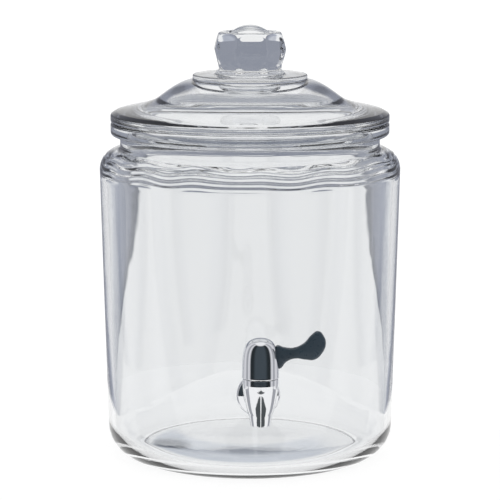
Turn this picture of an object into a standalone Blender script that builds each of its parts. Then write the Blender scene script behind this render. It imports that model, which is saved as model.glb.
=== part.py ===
"""Glass dispenser jar with a lift-off lid and a quarter-turn lever tap.

Metres, +Z up. The origin is on the jar's axis, level with the surface that the jar stands on.
The tap is on the -Y side, and its lever points to +X while the tap is shut.
"""
from math import atan2, cos, degrees, pi, radians, sin, sqrt

import bmesh
import bpy
from mathutils import Vector
from mathutils.geometry import interpolate_bezier

# Clearance between pieces that touch.
GAP = 0.0003
# How far a cutter runs past the faces that it cuts.
CUT_PAST = 0.002
# Wider clearance where a round seal follows the faceted inner wall of the jar.
CURVED_GAP = 0.0007

# Jar.
SHOULDER_R = 0.1174
WAIST_R = 0.1150
HEEL_R = 0.1120
SHOULDER_Z = 0.2265
WAIST_Z = 0.122
HEEL_Z = 0.024
SHOULDER_ROUND = 0.016
NECK_R = 0.1014
RIM_R = 0.1087
RIM_LOW_Z = 0.2535
RIM_TOP_Z = 0.2636
RIM_ROUND = 0.0025
GLASS = 0.0053
FLOOR_TOP_Z = 0.0080
FLOOR_CROWN_Z = 0.0103
FLOOR_CROWN_R = 0.010
FLOOR_CROWN_EASE = 0.014
FLOOR_ROUND = 0.018
FOOT_INNER_R = 0.0845
BASE_PANEL_R = 0.0825
BASE_PANEL_Z = 0.0015
HOLE_R = 0.0087
HOLE_FROM = 0.095
HOLE_TO = 0.130
JAR_STEPS = 40

# Lid.
FLANGE_TOP_Z = 0.2703
FLANGE_ROUND = 0.0020
SKIRT_OUTER_R = 0.0940
SKIRT_INNER_R = 0.0893
SKIRT_LOW_Z = 0.2555
LID_DISC_R = 0.0447
LID_DISC_LOW_Z = 0.2960
LID_DISC_TOP_Z = 0.3003
LID_DISC_ROUND = 0.0012
LID_CEILING_Z = 0.2895
# Points and curve handles of the lid's bell, as (radius, height), from its rise to its brim.
BELL_RISE = ((0.0465, 0.2958), (0.0560, 0.2940), (0.0640, 0.2875), (0.0720, 0.2817))
BELL_BRIM = ((0.0720, 0.2817), (0.0790, 0.2766), (0.0950, 0.2742), (0.1045, 0.2718))
BELL_INNER_BRIM = ((0.0865, 0.2685), (0.0780, 0.2705), (0.0700, 0.2750), (0.0645, 0.2790))
BELL_INNER_RISE = ((0.0645, 0.2790), (0.0570, 0.2845), (0.0480, 0.2893), (0.0380, 0.2895))
SKIRT_ROOT_Z = 0.2655

# Knob.
KNOB_FOOT_R = 0.0274
KNOB_NECK_R = 0.0252
KNOB_NECK_Z = 0.3068
KNOB_ROOT_Z = 0.3038
KNOB_MAX_R = 0.0292
KNOB_MAX_Z = 0.3198
KNOB_SHOULDER_R = 0.0225
KNOB_SHOULDER_Z = 0.3332
BUTTON_R = 0.0156
BUTTON_LOW_Z = 0.3320
BUTTON_GROOVE = 0.0018
KNOB_TOP_Z = 0.3386
KNOB_FACETS = 8
FACET_APOTHEM = 0.0277
FACET_NECK_APOTHEM = 0.0240
FACET_TOP_APOTHEM = 0.0230

# Tap.
BARREL_Y = -0.147
SHANK_Z = 0.0715
SHANK_R = 0.0080
SHANK_END = 0.092
SHANK_ROOT = 0.142
INLET_ROOT = 0.144
SEAL_R = 0.0135
SEAL_FRONT = 0.1170
FLANGE_R = 0.0163
FLANGE_THICKNESS = 0.0035
TAP_NECK_R = 0.0090
OUTER_SEAL_BACK = 0.1110
INNER_SEAL_BACK = 0.1042
INNER_SEAL_FRONT = 0.1090
SEAL_SHAPE_REACH = 0.016
WASHER_R = 0.0125
WASHER_THICKNESS = 0.0015
NUT_FLATS = 0.022
NUT_THICKNESS = 0.0070
NUT_CHAMFER = 0.0016
SEAM_Z = 0.0907
COLLAR_R = 0.0132
COLLAR_LOW_Z = 0.0840
TULIP_R = 0.0125
TULIP_Z = 0.0790
NOZZLE_TOP_R = 0.0086
NOZZLE_TOP_Z = 0.0637
NOZZLE_R = 0.0075
NOZZLE_LOW_Z = 0.0551
OUTLET_R = 0.0050
BORE_R = 0.0070
BORE_LOW_Z = 0.0617
RING_SEAT_Z = 0.0869
RING_GROOVE_TOP_Z = 0.0885
RING_GROOVE_R = 0.0096
RING_OPENING = 0.0030
MOUTH_R = 0.0086
INLET_R = 0.0040
SEAL_POCKET_R = 0.0050
SEAL_POCKET_BACK = 0.1380
PORT_SEAL_FRONT = 0.1399
TAP_STEPS = 24

# Valve plug and its seals.
PLUG_R = 0.0067
PLUG_LOW_Z = 0.0620
PLUG_TOP_Z = 0.0865
PLUG_HOLLOW_R = 0.0040
PLUG_HOLLOW_TOP_Z = 0.0765
PORT_R = 0.0031
GROOVE_R = 0.0052
GROOVE_HALF = 0.0010
LOWER_GROOVE_Z = 0.0644
UPPER_GROOVE_Z = 0.0807
O_RING_R = 0.00615
O_RING_WIRE_R = 0.00065
STEM_R = 0.0045
STEM_SHOULDER_Z = 0.0932
STEM_TOP_Z = 0.1080
STEM_SQUARE = 0.0070
SCREW_HOLE_R = 0.0019
SCREW_HOLE_LOW_Z = 0.0990

# Cap, lever and screw.
CAP_R = 0.0136
CAP_SHOULDER_Z = 0.0980
CAP_TOP_Z = 0.1205
CAP_WALL = 0.0018
SLOT_HALF_WIDTH = 0.0036
SLOT_LOW_Z = 0.0967
SLOT_TOP_Z = 0.1166
HUB_R = 0.0078
HUB_FLANGE_R = 0.0112
HUB_LOW_Z = 0.0938
HUB_FLANGE_TOP_Z = 0.0962
HUB_TOP_Z = 0.1118
SQUARE_TOP_Z = 0.1090
LEVER_THICKNESS = 0.0060
LEVER_ROUND = 0.0014
SCREW_HEAD_R = 0.0056
SCREW_HEAD_THICKNESS = 0.0028
SCREW_SLOT_WIDTH = 0.0012
SCREW_SLOT_DEPTH = 0.0011
SCREW_R = 0.0015
SCREW_LOW_Z = 0.1000

# The lever's outline, as distance from the tap's axis and height, from its root over the tip.
LEVER_OUTLINE = (
    (0.0030, 0.1000),
    (0.0030, 0.1105),
    (0.0085, 0.1112),
    (0.0124, 0.1149),
    (0.0165, 0.1137),
    (0.0245, 0.1130),
    (0.0322, 0.1166),
    (0.0372, 0.1222),
    (0.0424, 0.1252),
    (0.0465, 0.1215),
    (0.0479, 0.1158),
    (0.0455, 0.1094),
    (0.0398, 0.1042),
    (0.0330, 0.1043),
    (0.0255, 0.1052),
    (0.0190, 0.1028),
    (0.0142, 0.0978),
    (0.0090, 0.0985),
)


def make_collection(name):
    """Return a new collection, linked to the scene."""
    collection = bpy.data.collections.new(name)
    bpy.context.scene.collection.children.link(collection)
    return collection


def make_material(name, color, roughness, metallic=0.0, transmission=0.0):
    """Return a Principled material."""
    material = bpy.data.materials.new(name)
    material.use_nodes = True
    shader = material.node_tree.nodes["Principled BSDF"]
    shader.inputs["Base Color"].default_value = (*color, 1.0)
    shader.inputs["Roughness"].default_value = roughness
    shader.inputs["Metallic"].default_value = metallic
    shader.inputs["Transmission Weight"].default_value = transmission
    return material


def add_object(name, mesh, collection, material=None, parent=None):
    """Put a mesh into the scene as a named object."""
    obj = bpy.data.objects.new(name, mesh)
    collection.objects.link(obj)
    if material:
        mesh.materials.append(material)
    if parent:
        obj.parent = parent
    return obj


def hide_guide(obj):
    """Mark an object as one that only shapes others."""
    obj.hide_render = True
    obj.display_type = "WIRE"


def arc(centre, radius, start, end, steps):
    """Points on an arc, with angles in degrees from the outward direction towards up."""
    angles = [radians(start + (end - start) * step / steps) for step in range(steps + 1)]
    return [(centre[0] + radius * cos(a), centre[1] + radius * sin(a)) for a in angles]


def curve(start, start_handle, end_handle, end, steps):
    """Points on a cubic curve between two profile points."""
    knots = [Vector((*point, 0.0)) for point in (start, start_handle, end_handle, end)]
    return [(p.x, p.y) for p in interpolate_bezier(*knots, steps + 1)]


def ring_profile(inner, outer, low, high):
    """The closed rectangular section of a ring."""
    return [(inner, high), (outer, high), (outer, low), (inner, low)]


def turned(name, profile, collection, material=None, parent=None, steps=TAP_STEPS, closed=False):
    """Turn a profile of (radius, height) points about the object's Z axis."""
    points = [(radius, 0.0, height) for radius, height in profile]
    edges = [(index, index + 1) for index in range(len(points) - 1)]
    if closed:
        edges.append((len(points) - 1, 0))
    mesh = bpy.data.meshes.new(name)
    mesh.from_pydata(points, edges, [])
    obj = add_object(name, mesh, collection, material, parent)
    screw = obj.modifiers.new("Turn", "SCREW")
    screw.steps = steps
    screw.render_steps = steps
    screw.use_merge_vertices = True
    screw.merge_threshold = 0.00001
    return obj


def along_shank(obj):
    """Turn an object's Z axis to point out of the jar along the tap's shank."""
    obj.location = (0.0, 0.0, SHANK_Z)
    obj.rotation_euler = (pi / 2, 0.0, 0.0)


def block(name, low, high, collection, material=None, parent=None):
    """A box between two corners."""
    mesh = bpy.data.meshes.new(name)
    shape = bmesh.new()
    bmesh.ops.create_cube(shape, size=1.0)
    size = [b - a for a, b in zip(low, high)]
    bmesh.ops.scale(shape, vec=size, verts=shape.verts)
    centre = [(a + b) / 2 for a, b in zip(low, high)]
    bmesh.ops.translate(shape, vec=centre, verts=shape.verts)
    shape.to_mesh(mesh)
    shape.free()
    return add_object(name, mesh, collection, material, parent)


def cone(name, low_r, high_r, low_z, high_z, sides, collection, turn=0.0):
    """A closed cone frustum, cylinder or prism standing on the object's Z axis."""
    mesh = bpy.data.meshes.new(name)
    shape = bmesh.new()
    bmesh.ops.create_cone(shape, cap_ends=True, segments=sides, radius1=low_r, radius2=high_r,
                          depth=high_z - low_z)
    bmesh.ops.translate(shape, vec=(0.0, 0.0, (low_z + high_z) / 2), verts=shape.verts)
    shape.to_mesh(mesh)
    shape.free()
    obj = add_object(name, mesh, collection)
    obj.rotation_euler.z = turn
    return obj


def combine(target, tool, operation):
    """Add an exact Boolean of the target with a tool object."""
    boolean = target.modifiers.new(tool.name, "BOOLEAN")
    boolean.operation = operation
    boolean.object = tool
    boolean.solver = "EXACT"
    hide_guide(tool)


def outer_wall_r(height):
    """The jar's outer radius on the straight stretches of its wall."""
    if height < WAIST_Z:
        part = (height - HEEL_Z) / (WAIST_Z - HEEL_Z)
        return HEEL_R + part * (WAIST_R - HEEL_R)
    part = (height - WAIST_Z) / (SHOULDER_Z - WAIST_Z)
    return WAIST_R + part * (SHOULDER_R - WAIST_R)


def jar_profile():
    """The jar's section, from the middle of its floor over the rim to the base panel."""
    inner_heel = (outer_wall_r(FLOOR_TOP_Z + FLOOR_ROUND) - GLASS - FLOOR_ROUND,
                  FLOOR_TOP_Z + FLOOR_ROUND)
    neck_inner_r = NECK_R - GLASS
    neck_root_z = SHOULDER_Z + SHOULDER_ROUND
    rim_inner = (neck_inner_r + RIM_ROUND, RIM_TOP_Z - RIM_ROUND)
    rim_outer = (RIM_R - RIM_ROUND, RIM_TOP_Z - RIM_ROUND)
    rim_under = (RIM_R - RIM_ROUND, RIM_LOW_Z + RIM_ROUND)
    neck_fillet = (NECK_R + RIM_ROUND, neck_root_z + RIM_ROUND)
    floor_crown = curve((FLOOR_CROWN_R, FLOOR_CROWN_Z),
                        (FLOOR_CROWN_R + FLOOR_CROWN_EASE, FLOOR_CROWN_Z),
                        (inner_heel[0] - FLOOR_CROWN_EASE, FLOOR_TOP_Z),
                        (inner_heel[0], FLOOR_TOP_Z), 4)
    return [
        (0.0, FLOOR_CROWN_Z),
        *floor_crown,
        *arc(inner_heel, FLOOR_ROUND, -90, 0, 4)[1:],
        (WAIST_R - GLASS, WAIST_Z),
        *arc((NECK_R, SHOULDER_Z), SHOULDER_ROUND - GLASS, 0, 90, 3),
        *arc((NECK_R, neck_root_z), GLASS, 240, 180, 2),
        *arc(rim_inner, RIM_ROUND, 180, 90, 2),
        *arc(rim_outer, RIM_ROUND, 90, 0, 2),
        *arc(rim_under, RIM_ROUND, 0, -90, 2),
        (NECK_R, RIM_LOW_Z),
        *arc(neck_fillet, RIM_ROUND, 180, 250, 2),
        *arc((NECK_R, SHOULDER_Z), SHOULDER_ROUND, 76, 0, 4),
        (WAIST_R, WAIST_Z),
        *arc((HEEL_R - HEEL_Z, HEEL_Z), HEEL_Z, 0, -90, 5),
        (FOOT_INNER_R, 0.0),
        (BASE_PANEL_R, BASE_PANEL_Z),
        (0.0, BASE_PANEL_Z),
    ]


def make_jar(parts, cutters, glass):
    """The jar, with a round hole for the tap's shank."""
    jar = turned("jar", jar_profile(), parts, glass, steps=JAR_STEPS)
    hole = cone("jar_hole", HOLE_R, HOLE_R, HOLE_FROM, HOLE_TO, TAP_STEPS, cutters)
    along_shank(hole)
    combine(jar, hole, "DIFFERENCE")


def lid_profile():
    """The lid's section without the knob, from the knob's neck outwards and back below."""
    flange_low_z = RIM_TOP_Z + GAP
    edge = (RIM_R - FLANGE_ROUND, FLANGE_TOP_Z - FLANGE_ROUND)
    return [
        (0.0, KNOB_NECK_Z),
        (KNOB_NECK_R, KNOB_NECK_Z),
        (KNOB_NECK_R + 0.0004, KNOB_ROOT_Z),
        (KNOB_FOOT_R, LID_DISC_TOP_Z),
        (LID_DISC_R - LID_DISC_ROUND, LID_DISC_TOP_Z),
        (LID_DISC_R, LID_DISC_TOP_Z - LID_DISC_ROUND),
        (LID_DISC_R, LID_DISC_LOW_Z),
        *curve(*BELL_RISE, 4),
        *curve(*BELL_BRIM, 4)[1:],
        *arc(edge, FLANGE_ROUND, 75, 0, 2),
        (RIM_R, flange_low_z + 0.0010),
        (RIM_R - 0.0010, flange_low_z),
        (SKIRT_OUTER_R + 0.0005, flange_low_z),
        (SKIRT_OUTER_R - 0.0007, SKIRT_LOW_Z + 0.0010),
        (SKIRT_OUTER_R - 0.0017, SKIRT_LOW_Z),
        (SKIRT_INNER_R + 0.0010, SKIRT_LOW_Z),
        (SKIRT_INNER_R, SKIRT_LOW_Z + 0.0010),
        (SKIRT_INNER_R - 0.0010, SKIRT_ROOT_Z),
        *curve(*BELL_INNER_BRIM, 3),
        *curve(*BELL_INNER_RISE, 3)[1:],
        (0.0, LID_CEILING_Z),
    ]


def knob_profile():
    """The knob's round section above its neck, with a low button in a groove on top."""
    button_rise = KNOB_TOP_Z - BUTTON_LOW_Z
    ball_r = (BUTTON_R ** 2 + button_rise ** 2) / (2 * button_rise)
    button_edge = degrees(atan2(ball_r - button_rise, BUTTON_R))
    groove_z = BUTTON_LOW_Z - BUTTON_GROOVE
    return [
        *arc((0.0, KNOB_TOP_Z - ball_r), ball_r, 90, button_edge, 3),
        (BUTTON_R + 0.0004, groove_z),
        (BUTTON_R + 0.0026, groove_z),
        (BUTTON_R + 0.0042, KNOB_SHOULDER_Z - 0.0004),
        *curve((KNOB_SHOULDER_R, KNOB_SHOULDER_Z), (KNOB_MAX_R - 0.0035, KNOB_SHOULDER_Z),
               (KNOB_MAX_R, KNOB_MAX_Z + 0.0064), (KNOB_MAX_R, KNOB_MAX_Z), 5),
        *curve((KNOB_MAX_R, KNOB_MAX_Z), (KNOB_MAX_R, KNOB_MAX_Z - 0.0058),
               (KNOB_NECK_R + 0.0003, KNOB_NECK_Z + 0.0030), (KNOB_NECK_R, KNOB_NECK_Z), 4)[1:],
        (KNOB_NECK_R, KNOB_ROOT_Z),
        (0.0, KNOB_ROOT_Z),
    ]


def make_lid(parts, cutters, glass):
    """The lid and its faceted knob, pressed as one piece of glass."""
    lid = turned("lid", lid_profile(), parts, glass, steps=JAR_STEPS)
    knob = turned("knob_shape", knob_profile(), cutters, steps=TAP_STEPS)
    corner = 1 / cos(pi / KNOB_FACETS)
    half_turn = pi / KNOB_FACETS
    facets = cone("knob_facets", FACET_NECK_APOTHEM * corner, FACET_APOTHEM * corner,
                  KNOB_ROOT_Z - CUT_PAST, KNOB_MAX_Z, KNOB_FACETS, cutters, half_turn)
    upper = cone("knob_upper_facets", FACET_APOTHEM * corner, FACET_TOP_APOTHEM * corner,
                 KNOB_MAX_Z, KNOB_TOP_Z + CUT_PAST, KNOB_FACETS, cutters, half_turn)
    combine(facets, upper, "UNION")
    combine(knob, facets, "INTERSECT")
    combine(lid, knob, "UNION")


def barrel_profile():
    """The outside of the tap's upright barrel, from its collar down to the nozzle."""
    return [
        (0.0, SEAM_Z),
        (COLLAR_R - 0.0006, SEAM_Z),
        (COLLAR_R, SEAM_Z - 0.0006),
        *curve((COLLAR_R, COLLAR_LOW_Z + 0.0025), (COLLAR_R - 0.0001, COLLAR_LOW_Z + 0.0010),
               (TULIP_R + 0.0005, TULIP_Z + 0.0030), (TULIP_R, TULIP_Z), 3),
        *curve((TULIP_R, TULIP_Z), (TULIP_R - 0.0011, TULIP_Z - 0.0066),
               (NOZZLE_TOP_R + 0.0014, NOZZLE_TOP_Z + 0.0030), (NOZZLE_TOP_R, NOZZLE_TOP_Z),
               5)[1:],
        (NOZZLE_R, NOZZLE_LOW_Z),
        (0.0, NOZZLE_LOW_Z),
    ]


def shank_profile():
    """The tap's level part, from inside the barrel through the wall flange to the shank's end."""
    flange_front = SEAL_FRONT + GAP + FLANGE_THICKNESS
    return [
        (0.0, SHANK_ROOT),
        (TAP_NECK_R, SHANK_ROOT),
        (TAP_NECK_R, flange_front + 0.0060),
        (TAP_NECK_R + 0.0015, flange_front + 0.0020),
        (FLANGE_R - 0.0015, flange_front),
        (FLANGE_R, flange_front - 0.0012),
        (FLANGE_R, SEAL_FRONT + GAP),
        (SHANK_R, SEAL_FRONT + GAP),
        (SHANK_R, SHANK_END + 0.0008),
        (SHANK_R - 0.0008, SHANK_END),
        (0.0, SHANK_END),
    ]


def make_tap_body(parts, cutters, chrome):
    """The tap's body: barrel, nozzle, wall flange and shank, with its bores."""
    body = turned("tap_body", barrel_profile(), parts, chrome)
    body.location.y = BARREL_Y
    shank = turned("shank_shape", shank_profile(), cutters)
    along_shank(shank)
    combine(body, shank, "UNION")
    bore = turned("barrel_bore", [
        (0.0, SEAM_Z + CUT_PAST),
        (MOUTH_R, SEAM_Z + CUT_PAST),
        (MOUTH_R, RING_GROOVE_TOP_Z),
        (RING_GROOVE_R, RING_GROOVE_TOP_Z),
        (RING_GROOVE_R, RING_SEAT_Z),
        (BORE_R, RING_SEAT_Z),
        (BORE_R, BORE_LOW_Z),
        (OUTLET_R, BORE_LOW_Z),
        (OUTLET_R, NOZZLE_LOW_Z - CUT_PAST),
        (0.0, NOZZLE_LOW_Z - CUT_PAST),
    ], cutters)
    bore.location.y = BARREL_Y
    combine(body, bore, "DIFFERENCE")
    inlet = turned("inlet_bore", [
        (0.0, INLET_ROOT),
        (SEAL_POCKET_R, INLET_ROOT),
        (SEAL_POCKET_R, SEAL_POCKET_BACK),
        (INLET_R, SEAL_POCKET_BACK),
        (INLET_R, SHANK_END - CUT_PAST),
        (0.0, SHANK_END - CUT_PAST),
    ], cutters)
    along_shank(inlet)
    combine(body, inlet, "DIFFERENCE")


def make_wall_seals(parts, cutters, rubber, steel):
    """The gaskets on both sides of the glass, with the washer and nut on the shank."""
    low_z = SHANK_Z - SEAL_SHAPE_REACH
    high_z = SHANK_Z + SEAL_SHAPE_REACH
    inner_r = SHANK_R + GAP
    outer_section = ring_profile(inner_r, SEAL_R, OUTER_SEAL_BACK, SEAL_FRONT)
    outer_gasket = turned("outer_gasket", outer_section, parts, rubber, closed=True)
    along_shank(outer_gasket)
    outside = cone("outer_wall_shape", outer_wall_r(low_z) + GAP, outer_wall_r(high_z) + GAP,
                   low_z, high_z, 2 * JAR_STEPS, cutters)
    combine(outer_gasket, outside, "DIFFERENCE")
    inner_section = ring_profile(inner_r, SEAL_R, INNER_SEAL_BACK, INNER_SEAL_FRONT)
    inner_gasket = turned("inner_gasket", inner_section, parts, rubber, closed=True)
    along_shank(inner_gasket)
    setback = GLASS + CURVED_GAP
    inside = cone("inner_wall_shape", outer_wall_r(low_z) - setback,
                  outer_wall_r(high_z) - setback, low_z, high_z, 2 * JAR_STEPS, cutters)
    combine(inner_gasket, inside, "INTERSECT")
    washer_front = INNER_SEAL_BACK - GAP
    washer_back = washer_front - WASHER_THICKNESS
    washer = turned("flat_washer", ring_profile(inner_r, WASHER_R, washer_back, washer_front),
                    parts, steel, closed=True)
    along_shank(washer)
    make_lock_nut(washer_back - GAP, parts, cutters, steel)


def make_lock_nut(front, parts, cutters, steel):
    """A hexagonal nut with turned-down corners on the shank, inside the jar."""
    corner_r = NUT_FLATS / sqrt(3)
    back = front - NUT_THICKNESS
    nut = turned("lock_nut", [
        (SHANK_R + GAP, front),
        (corner_r, front),
        (corner_r, back + NUT_CHAMFER),
        (NUT_FLATS / 2, back),
        (SHANK_R + GAP, back),
    ], parts, steel, closed=True)
    along_shank(nut)
    flats = cone("nut_flats", corner_r, corner_r, back - CUT_PAST, front + CUT_PAST, 6, cutters)
    along_shank(flats)
    combine(nut, flats, "INTERSECT")


def make_plug(parts, cutters, axis, plastic, rubber):
    """The turning plug with its seals. Its port faces -X while the tap is shut."""
    grooves = []
    for height in (UPPER_GROOVE_Z, LOWER_GROOVE_Z):
        grooves += [(PLUG_R, height + GROOVE_HALF), (GROOVE_R, height + GROOVE_HALF)]
        grooves += [(GROOVE_R, height - GROOVE_HALF), (PLUG_R, height - GROOVE_HALF)]
    plug = turned("valve_plug", [
        (0.0, STEM_SHOULDER_Z),
        (STEM_R, STEM_SHOULDER_Z),
        (STEM_R, PLUG_TOP_Z),
        (PLUG_R, PLUG_TOP_Z),
        *grooves,
        (PLUG_R, PLUG_LOW_Z),
        (PLUG_HOLLOW_R, PLUG_LOW_Z),
        (PLUG_HOLLOW_R, PLUG_HOLLOW_TOP_Z),
        (0.0, PLUG_HOLLOW_TOP_Z),
    ], parts, plastic, axis)
    half = STEM_SQUARE / 2
    stem = block("stem_square", (-half, -half, STEM_SHOULDER_Z - CUT_PAST),
                 (half, half, STEM_TOP_Z), cutters, parent=axis)
    combine(plug, stem, "UNION")
    thread = cone("screw_hole", SCREW_HOLE_R, SCREW_HOLE_R, SCREW_HOLE_LOW_Z,
                  STEM_TOP_Z + CUT_PAST, 16, cutters)
    thread.parent = axis
    combine(plug, thread, "DIFFERENCE")
    port = cone("plug_port", PORT_R, PORT_R, 0.0, PLUG_R + CUT_PAST, 20, cutters)
    port.parent = axis
    port.location.z = SHANK_Z
    port.rotation_euler.y = -pi / 2
    combine(plug, port, "DIFFERENCE")
    for name, height in (("upper_o_ring", UPPER_GROOVE_Z), ("lower_o_ring", LOWER_GROOVE_Z)):
        section = arc((O_RING_R, height), O_RING_WIRE_R, 90, -225, 7)
        turned(name, section, parts, rubber, axis, closed=True)


def make_fixed_seals(parts, cutters, rubber, steel):
    """The seal around the inlet and the split ring over the plug, both still in the barrel."""
    seal = turned("port_seal", ring_profile(INLET_R - 0.0006, SEAL_POCKET_R - GAP,
                                            SEAL_POCKET_BACK + GAP, PORT_SEAL_FRONT),
                  parts, rubber, closed=True)
    along_shank(seal)
    ring = turned("snap_ring", ring_profile(STEM_R + 0.0009, RING_GROOVE_R - GAP,
                                            RING_SEAT_Z + GAP, RING_GROOVE_TOP_Z - GAP),
                  parts, steel, closed=True)
    ring.location.y = BARREL_Y
    opening = block("snap_ring_opening", (-RING_OPENING / 2, 0.0, RING_SEAT_Z - CUT_PAST),
                    (RING_OPENING / 2, RING_GROOVE_R, RING_GROOVE_TOP_Z + CUT_PAST), cutters)
    opening.location.y = BARREL_Y
    combine(ring, opening, "DIFFERENCE")


def make_cap(parts, cutters, axis, chrome):
    """The bullet-shaped cap, a shell with a slot for the lever."""
    low_z = SEAM_Z + GAP
    inner_r = CAP_R - CAP_WALL
    inner_top_z = CAP_TOP_Z - CAP_WALL
    dome = curve((0.0, CAP_TOP_Z), (CAP_R - 0.0018, CAP_TOP_Z),
                 (CAP_R - 0.0002, CAP_SHOULDER_Z + 0.0138), (CAP_R - 0.0001, CAP_SHOULDER_Z), 8)
    hollow = curve((inner_r, CAP_SHOULDER_Z), (inner_r - 0.0002, CAP_SHOULDER_Z + 0.0130),
                   (inner_r - 0.0016, inner_top_z), (0.0, inner_top_z), 5)
    cap = turned("tap_cap", [*dome, (CAP_R, low_z), (inner_r, low_z), *hollow],
                 parts, chrome, axis)
    slot = block("lever_slot", (CAP_R / 2, -SLOT_HALF_WIDTH, SLOT_LOW_Z),
                 (CAP_R + CUT_PAST, SLOT_HALF_WIDTH, SLOT_TOP_Z), cutters, parent=axis)
    combine(cap, slot, "DIFFERENCE")


def lever_plate(cutters, axis):
    """The lever's flat outline given thickness, with its sharp edges rounded."""
    outline = bpy.data.curves.new("lever_outline", "CURVE")
    outline.dimensions = "2D"
    outline.fill_mode = "BOTH"
    outline.extrude = LEVER_THICKNESS / 2
    outline.resolution_u = 3
    spline = outline.splines.new("BEZIER")
    spline.bezier_points.add(len(LEVER_OUTLINE) - 1)
    for knot, (distance, height) in zip(spline.bezier_points, LEVER_OUTLINE):
        knot.co = (distance, height, 0.0)
        knot.handle_left_type = "AUTO"
        knot.handle_right_type = "AUTO"
    spline.use_cyclic_u = True
    flat = bpy.data.objects.new("lever_outline", outline)
    cutters.objects.link(flat)
    bpy.context.view_layer.update()
    graph = bpy.context.evaluated_depsgraph_get()
    mesh = bpy.data.meshes.new_from_object(flat.evaluated_get(graph))
    bpy.data.objects.remove(flat)
    shape = bmesh.new()
    shape.from_mesh(mesh)
    bmesh.ops.remove_doubles(shape, verts=shape.verts, dist=0.00001)
    shape.to_mesh(mesh)
    shape.free()
    plate = add_object("lever_plate", mesh, cutters, parent=axis)
    plate.rotation_euler.x = pi / 2
    bevel = plate.modifiers.new("Round edges", "BEVEL")
    bevel.width = LEVER_ROUND
    bevel.segments = 2
    bevel.limit_method = "ANGLE"
    bevel.angle_limit = radians(60)
    return plate


def make_lever(parts, cutters, axis, slate, steel):
    """The lever with the hub that fits the plug's square stem, and its screw."""
    lever = turned("lever", [
        (0.0, HUB_TOP_Z),
        (HUB_R, HUB_TOP_Z),
        (HUB_R, HUB_FLANGE_TOP_Z),
        (HUB_FLANGE_R, HUB_FLANGE_TOP_Z),
        (HUB_FLANGE_R, HUB_LOW_Z),
        (0.0, HUB_LOW_Z),
    ], parts, slate, axis)
    combine(lever, lever_plate(cutters, axis), "UNION")
    half = STEM_SQUARE / 2 + GAP
    square = block("hub_square", (-half, -half, HUB_LOW_Z - CUT_PAST),
                   (half, half, SQUARE_TOP_Z), cutters, parent=axis)
    combine(lever, square, "DIFFERENCE")
    hole = cone("hub_hole", SCREW_HOLE_R, SCREW_HOLE_R, SQUARE_TOP_Z - CUT_PAST,
                HUB_TOP_Z + CUT_PAST, 16, cutters)
    hole.parent = axis
    combine(lever, hole, "DIFFERENCE")
    head_low_z = HUB_TOP_Z + GAP
    head_top_z = head_low_z + SCREW_HEAD_THICKNESS
    screw = turned("hub_screw", [
        (0.0, head_top_z),
        (SCREW_HEAD_R - 0.0016, head_top_z),
        (SCREW_HEAD_R, head_low_z + 0.0010),
        (SCREW_HEAD_R, head_low_z),
        (SCREW_R, head_low_z),
        (SCREW_R, SCREW_LOW_Z),
        (0.0, SCREW_LOW_Z),
    ], parts, steel, axis, steps=16)
    reach = SCREW_HEAD_R + CUT_PAST
    slot = block("screw_slot", (-reach, -SCREW_SLOT_WIDTH / 2, head_top_z - SCREW_SLOT_DEPTH),
                 (reach, SCREW_SLOT_WIDTH / 2, head_top_z + CUT_PAST), cutters, parent=axis)
    combine(screw, slot, "DIFFERENCE")


def main():
    """Clear the scene and build every piece."""
    for obj in list(bpy.data.objects):
        bpy.data.objects.remove(obj)
    parts = make_collection("glass_dispenser_jar")
    cutters = make_collection("cutters")
    glass = make_material("clear_glass", (0.97, 0.98, 1.0), 0.02, transmission=1.0)
    chrome = make_material("chrome", (0.80, 0.81, 0.83), 0.06, metallic=1.0)
    slate = make_material("slate_lever", (0.025, 0.037, 0.046), 0.25)
    rubber = make_material("silicone", (0.62, 0.63, 0.64), 0.55)
    steel = make_material("steel", (0.62, 0.62, 0.63), 0.30, metallic=1.0)
    plastic = make_material("valve_plastic", (0.78, 0.78, 0.76), 0.40)
    axis = bpy.data.objects.new("valve_axis", None)
    parts.objects.link(axis)
    axis.location.y = BARREL_Y
    make_jar(parts, cutters, glass)
    make_lid(parts, cutters, glass)
    make_tap_body(parts, cutters, chrome)
    make_wall_seals(parts, cutters, rubber, steel)
    make_fixed_seals(parts, cutters, rubber, steel)
    make_plug(parts, cutters, axis, plastic, rubber)
    make_lever(parts, cutters, axis, slate, steel)
    make_cap(parts, cutters, axis, chrome)


main()
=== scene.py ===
"""Looks of the glass dispenser jar: fine pressed glass, a chrome tap and a white studio.

Metres, in the CAD model's frame: the origin is on the jar's axis, level with the table it stands
on, and the tap is on the -Y side.
"""
from math import atan2, cos, degrees, exp, pi, radians, sin, sqrt, tan

import bmesh
import bpy
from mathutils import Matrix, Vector, noise
from mathutils.geometry import interpolate_bezier


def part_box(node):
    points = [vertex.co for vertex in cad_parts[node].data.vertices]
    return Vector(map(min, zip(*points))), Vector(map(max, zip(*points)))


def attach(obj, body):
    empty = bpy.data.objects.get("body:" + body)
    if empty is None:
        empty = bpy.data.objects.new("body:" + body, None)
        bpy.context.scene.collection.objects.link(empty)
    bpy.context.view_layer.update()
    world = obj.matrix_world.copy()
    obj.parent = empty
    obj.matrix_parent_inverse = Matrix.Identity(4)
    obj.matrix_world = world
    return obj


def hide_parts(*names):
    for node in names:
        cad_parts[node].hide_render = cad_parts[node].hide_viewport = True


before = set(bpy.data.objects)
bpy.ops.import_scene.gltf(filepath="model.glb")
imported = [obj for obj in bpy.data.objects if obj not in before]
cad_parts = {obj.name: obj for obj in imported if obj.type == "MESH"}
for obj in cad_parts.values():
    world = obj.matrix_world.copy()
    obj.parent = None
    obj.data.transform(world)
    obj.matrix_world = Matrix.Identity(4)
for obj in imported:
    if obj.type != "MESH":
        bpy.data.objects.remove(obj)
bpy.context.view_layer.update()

# Places and sizes read from the frame.
_, JAR_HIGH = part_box("jar")
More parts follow.
